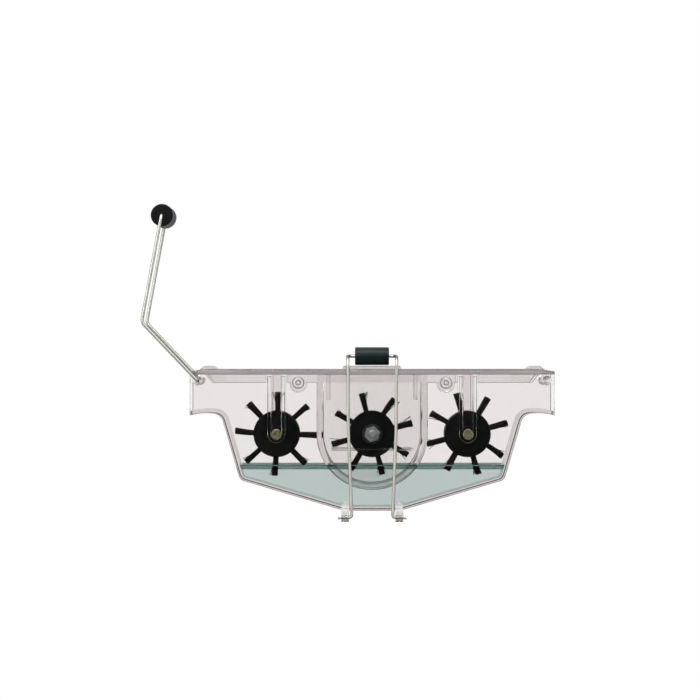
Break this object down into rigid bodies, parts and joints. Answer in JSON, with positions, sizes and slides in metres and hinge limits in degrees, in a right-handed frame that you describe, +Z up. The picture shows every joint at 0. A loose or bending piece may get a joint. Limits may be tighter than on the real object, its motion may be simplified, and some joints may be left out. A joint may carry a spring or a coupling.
{
  "type": "bicycle chain cleaner",
  "caption": "Clear clip-on bath that scrubs a bicycle chain between rotary brushes, with a lid, a wire bail and a wire reaction arm.",
  "frame": {"origin": "where the chain's centre line crosses the middle of the tool, half way between front and back", "axes": "+X along the chain to the right seen from the front, +Z up, -Y towards the front, the side with the bail's lugs"},
  "size_m": [0.2069, 0.0416, 0.1594],
  "materials": {
    "clear_plastic": "clear moulded plastic with a faint pink-grey tint, glossy",
    "steel_wire": "bright drawn spring wire",
    "zinc_steel": "bright zinc plate",
    "dark_washer": "dark plated steel",
    "brass_tube": "plain brass",
    "yellow_zinc": "yellow zinc plate",
    "black_plastic": "moulded, satin black",
    "black_bristle": "black nylon filament",
    "anchor_wire": "flat wire",
    "green_plastic": "dark green, soft gloss",
    "black_rubber": "matt black",
    "solvent": "pale green-grey cleaning fluid"
  },
  "bodies": {
    "tank": {"tank": "clear_plastic"},
    "lid": {"lid": "clear_plastic", "center_bolt": "zinc_steel", "center_nut": "zinc_steel", "center_washers": "dark_washer", "center_sleeve": "brass_tube"},
    "center_brush": {"center_hub": "black_plastic", "center_tufts_front": "black_bristle", "center_tufts_middle": "black_bristle", "center_tufts_back": "black_bristle", "center_anchors": "anchor_wire"},
    "left_brush": {"left_axle": "yellow_zinc", "left_hub": "black_plastic", "left_tufts_front": "black_bristle", "left_tufts_middle": "black_bristle", "left_tufts_back": "black_bristle", "left_anchors": "anchor_wire"},
    "right_brush": {"right_axle": "yellow_zinc", "right_hub": "black_plastic", "right_tufts_front": "black_bristle", "right_tufts_middle": "black_bristle", "right_tufts_back": "black_bristle", "right_anchors": "anchor_wire"},
    "bail": {"bail_wire": "steel_wire"},
    "bail_roller": {"bail_roller": "green_plastic"},
    "arm": {"arm_wire": "steel_wire"},
    "arm_roller": {"arm_roller": "black_rubber"}
  },
  "joints": [
    {"name": "bail_swing", "type": "hinge", "parent": "tank", "child": "bail", "pos_m": [0, -0.0186, -0.0565], "axis": [1, 0, 0], "range_deg": [0, 180]},
    {"name": "bail_roller_spin", "type": "hinge", "parent": "bail", "child": "bail_roller", "pos_m": [0, 0, 0.0241], "axis": [1, 0, 0], "continuous": true},
    {"name": "lid_lift", "type": "slide", "parent": "tank", "child": "lid", "axis": [0, 0, 1], "range_m": [0, 0.06]},
    {"name": "center_brush_spin", "type": "hinge", "parent": "lid", "child": "center_brush", "pos_m": [0, 0, -0.015], "axis": [0, 1, 0], "continuous": true},
    {"name": "left_brush_spin", "type": "hinge", "parent": "tank", "child": "left_brush", "pos_m": [-0.048, 0, -0.015], "axis": [0, 1, 0], "continuous": true},
    {"name": "right_brush_spin", "type": "hinge", "parent": "tank", "child": "right_brush", "pos_m": [0.048, 0, -0.015], "axis": [0, 1, 0], "continuous": true},
    {"name": "arm_swing", "type": "hinge", "parent": "tank", "child": "arm", "pos_m": [-0.0873, 0, 0.0119], "axis": [0, -1, 0], "range_deg": [-85, 195]},
    {"name": "arm_roller_spin", "type": "hinge", "parent": "arm", "child": "arm_roller", "pos_m": [-0.1052, 0, 0.0947], "axis": [0, 1, 0], "continuous": true}
  ],
  "couplings": [
    {"joint": "lid_lift", "follows": "bail_swing", "m_per_rad": 0.019098}
  ]
}
